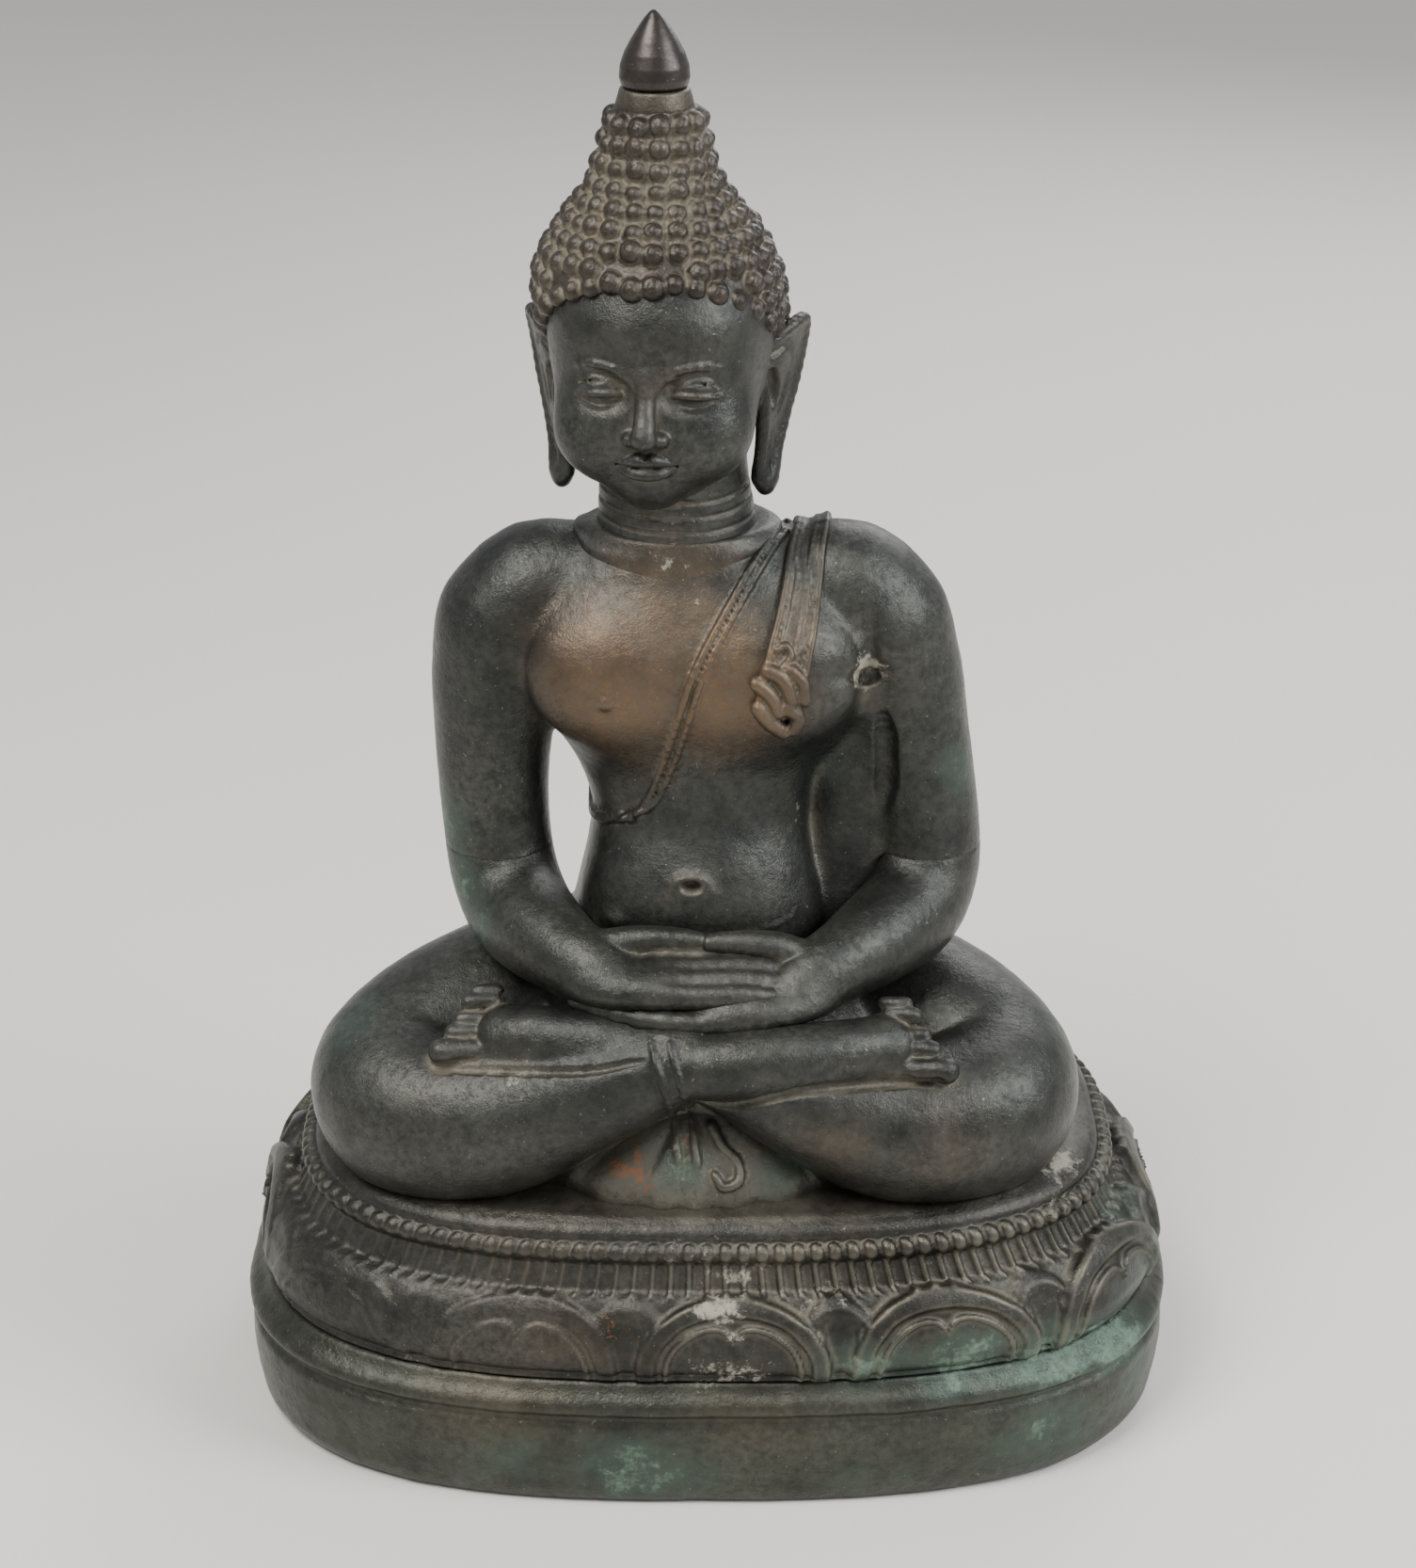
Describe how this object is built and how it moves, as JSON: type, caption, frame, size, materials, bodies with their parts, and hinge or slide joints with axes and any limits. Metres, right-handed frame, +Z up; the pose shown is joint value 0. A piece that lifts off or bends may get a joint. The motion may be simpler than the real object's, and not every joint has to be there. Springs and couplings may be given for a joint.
{
  "type": "seated buddha statue",
  "caption": "Seated bronze buddha in meditation, legs crossed and hands in its lap, on a lotus throne over a moulded plinth, with a lift-off finial.",
  "frame": {"origin": "middle of the plinth's foot, on the surface it stands on", "axes": "+Z up; the figure faces -Y; +X is towards the figure's own left"},
  "size_m": [0.167, 0.106, 0.245],
  "materials": {
    "bronze_dark": "cast bronze, near-black grey-green patina, satin, dust in the recesses",
    "bronze_brown": "cast bronze, brown patina rubbed bare on the high spots, soft gloss",
    "bronze_green": "cast bronze, dark patina with green corrosion, satin to matte",
    "core_clay": "fired casting clay, matte and rough",
    "iron": "wrought iron, brown and dull"
  },
  "bodies": {
    "statue": {"plinth": "bronze_green", "base_plate": "iron", "lotus_throne": "bronze_dark", "robe_apron": "bronze_dark", "left_throne_pin": "iron", "right_throne_pin": "iron", "legs": "bronze_dark", "torso": "bronze_brown", "left_forearm": "bronze_green", "right_forearm": "bronze_green", "left_elbow_dowel": "iron", "right_elbow_dowel": "iron", "sash": "bronze_brown", "neck_collar": "bronze_dark", "head": "bronze_dark", "finial_collar": "bronze_dark", "legs_core": "core_clay", "torso_core": "core_clay", "head_core": "core_clay", "armature_rod": "iron"},
    "finial": {"finial": "bronze_brown"}
  },
  "joints": [
    {"name": "finial_lift", "type": "slide", "parent": "statue", "child": "finial", "axis": [0, 0, 1], "range_m": [0, 0.02]}
  ]
}
